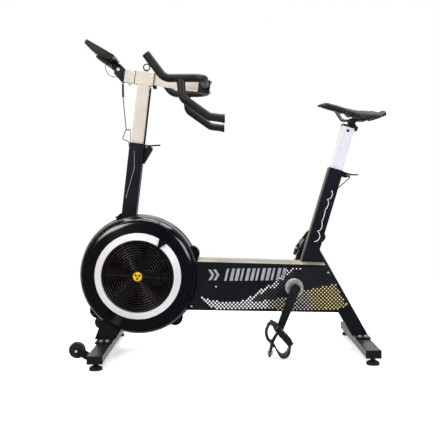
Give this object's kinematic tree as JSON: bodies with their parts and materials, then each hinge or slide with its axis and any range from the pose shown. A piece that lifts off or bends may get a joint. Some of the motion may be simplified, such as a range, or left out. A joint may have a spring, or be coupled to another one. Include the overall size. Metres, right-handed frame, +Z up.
{
  "type": "air bike",
  "caption": "Air bike with a belt-driven fan in a round housing, sliding handlebar, console, saddle, and crank with toe-clip pedals.",
  "frame": {"origin": "on the floor, midway along and across the bike", "axes": "+X to the rear (saddle), -X to the front (fan), +Y to the rider's right, +Z up"},
  "size_m": [1.263, 0.668, 1.279],
  "materials": {
    "frame_black": "satin, faintly metallic",
    "base_black": "satin",
    "cover_black": "satin with a printed dot pattern",
    "gloss_black": "gloss",
    "trim_silver": "satin silver",
    "grille_black": "gloss",
    "badge_yellow": "gloss",
    "fan_black": "matte",
    "bare_steel": "brushed",
    "bright_bolt": "bright",
    "black_bolt": "satin",
    "post_silver": "satin silver",
    "seat_silver": "satin silver",
    "slider_silver": "satin silver",
    "bearing_silver": "machined",
    "crank_black": "satin",
    "black_plastic": "matte",
    "foot_rubber": "matte",
    "belt_rubber": "matte",
    "bar_rubber": "matte",
    "wheel_rubber": "matte",
    "strap_black": "woven",
    "console_black": "satin",
    "screen_dark": "gloss",
    "button_grey": "matte",
    "lever_black": "satin",
    "cable_grey": "matte",
    "liner_black": "matte",
    "saddle_black": "satin, soft",
    "saddle_shell": "matte"
  },
  "bodies": {
    "frame": {"main_frame": "frame_black", "sleeve_liners": "liner_black", "front_stabiliser": "base_black", "rear_stabiliser": "base_black", "stabiliser_end_caps": "black_plastic", "stabiliser_bolts": "bright_bolt", "levelling_feet": "foot_rubber", "wheel_brackets": "base_black", "left_beam_cover": "cover_black", "right_beam_cover": "cover_black", "beam_top_cover": "gloss_black", "left_fan_shell": "gloss_black", "right_fan_shell": "gloss_black", "cover_screws": "black_bolt", "trim_rings": "trim_silver", "grilles": "grille_black", "grille_badges": "badge_yellow", "fan_axle": "bare_steel", "bearings": "bare_steel", "drive_belt": "belt_rubber", "bearing_covers": "bearing_silver", "sensor_cable": "cable_grey", "lock_hardware": "bare_steel"},
    "crank": {"crank_pulley": "bearing_silver", "crank_axle": "bare_steel", "crank_arms": "crank_black", "pedal_spindles": "bare_steel"},
    "left_pedal_set": {"left_pedal": "black_plastic", "left_toe_cage": "black_plastic", "left_toe_strap": "strap_black"},
    "right_pedal_set": {"right_pedal": "black_plastic", "right_toe_cage": "black_plastic", "right_toe_strap": "strap_black"},
    "fan": {"fan_wheel": "fan_black", "fan_pulley": "bearing_silver"},
    "damper": {"damper_lever": "gloss_black", "damper_shutter": "black_plastic"},
    "post": {"handlebar_post": "post_silver", "post_guide_strip": "liner_black", "slider_bushings": "black_plastic"},
    "lock_knob": {"slider_lock_knob": "bright_bolt"},
    "slider": {"slider_tube": "slider_silver", "handlebar": "bar_rubber", "handlebar_clamp": "black_plastic", "slider_bolts": "bright_bolt", "console_bracket": "frame_black"},
    "console": {"console_housing": "console_black", "console_screen": "screen_dark"},
    "left_key": {"left_button": "button_grey"},
    "right_key": {"right_button": "button_grey"},
    "post_lever": {"post_lock_lever": "lever_black"},
    "seat_lever": {"seat_lock_lever": "lever_black"},
    "seat": {"seat_post": "seat_silver", "seat_head": "crank_black"},
    "clamp": {"saddle_clamp": "crank_black"},
    "saddle": {"saddle_base": "saddle_shell", "saddle_pad": "saddle_black", "saddle_rails": "bare_steel"},
    "left_wheel": {"left_transport_wheel": "wheel_rubber"},
    "right_wheel": {"right_transport_wheel": "wheel_rubber"}
  },
  "joints": [
    {"name": "crank_spin", "type": "hinge", "parent": "frame", "child": "crank", "pos_m": [0.248, 0, 0.269], "axis": [0, 1, 0], "continuous": true},
    {"name": "left_pedal_spin", "type": "hinge", "parent": "crank", "child": "left_pedal_set", "pos_m": [0.18386, 0, 0.10618], "axis": [0, 1, 0], "continuous": true},
    {"name": "right_pedal_spin", "type": "hinge", "parent": "crank", "child": "right_pedal_set", "pos_m": [0.31214, 0, 0.43182], "axis": [0, 1, 0], "continuous": true},
    {"name": "fan_spin", "type": "hinge", "parent": "frame", "child": "fan", "pos_m": [-0.386, 0, 0.325], "axis": [0, 1, 0], "continuous": true},
    {"name": "damper_turn", "type": "hinge", "parent": "frame", "child": "damper", "pos_m": [-0.386, 0, 0.325], "axis": [0, 1, 0], "range_deg": [-40, 40]},
    {"name": "handlebar_height", "type": "slide", "parent": "frame", "child": "post", "axis": [0.1305, 0, 0.9914], "range_m": [-0.14, 0.05], "deforming": ["sensor_cable"]},
    {"name": "slider_knob_turn", "type": "hinge", "parent": "post", "child": "lock_knob", "pos_m": [-0.3524, 0, 1.1296], "axis": [0.1478, 0, 0.989], "range_deg": [-120, 0]},
    {"name": "slider_fore_aft", "type": "slide", "parent": "post", "child": "slider", "axis": [0.989, 0, -0.1478], "range_m": [-0.11, 0], "deforming": ["sensor_cable"]},
    {"name": "console_tilt", "type": "hinge", "parent": "slider", "child": "console", "pos_m": [-0.459, 0, 1.166], "axis": [0, 1, 0], "range_deg": [-15, 20]},
    {"name": "left_button_press", "type": "slide", "parent": "console", "child": "left_key", "axis": [-0.509, 0, -0.8607], "range_m": [0, 0.0015], "stiffness_N_per_m": 800, "springref_m": -0.001},
    {"name": "right_button_press", "type": "slide", "parent": "console", "child": "right_key", "axis": [-0.509, 0, -0.8607], "range_m": [0, 0.0015], "stiffness_N_per_m": 800, "springref_m": -0.001},
    {"name": "post_lock", "type": "hinge", "parent": "frame", "child": "post_lever", "pos_m": [-0.34952, 0, 0.85086], "axis": [0, 1, 0], "range_deg": [-65, 0]},
    {"name": "seat_lock", "type": "hinge", "parent": "frame", "child": "seat_lever", "pos_m": [0.47705, 0, 0.7249], "axis": [0, 1, 0], "range_deg": [-65, 0]},
    {"name": "seat_height", "type": "slide", "parent": "frame", "child": "seat", "axis": [0.2924, 0, 0.9563], "range_m": [-0.14, 0.06]},
    {"name": "saddle_tilt", "type": "hinge", "parent": "seat", "child": "clamp", "pos_m": [0.499, 0, 0.934], "axis": [0, 1, 0], "range_deg": [-8, 8]},
    {"name": "saddle_fore_aft", "type": "slide", "parent": "clamp", "child": "saddle", "axis": [1, 0, 0], "range_m": [-0.012, 0.012]},
    {"name": "left_wheel_spin", "type": "hinge", "parent": "frame", "child": "left_wheel", "pos_m": [-0.599, -0.28, 0.07], "axis": [0, 1, 0], "continuous": true},
    {"name": "right_wheel_spin", "type": "hinge", "parent": "frame", "child": "right_wheel", "pos_m": [-0.599, 0.28, 0.07], "axis": [0, 1, 0], "continuous": true}
  ],
  "couplings": [
    {"joint": "fan_spin", "follows": "crank_spin", "ratio": 4}
  ]
}
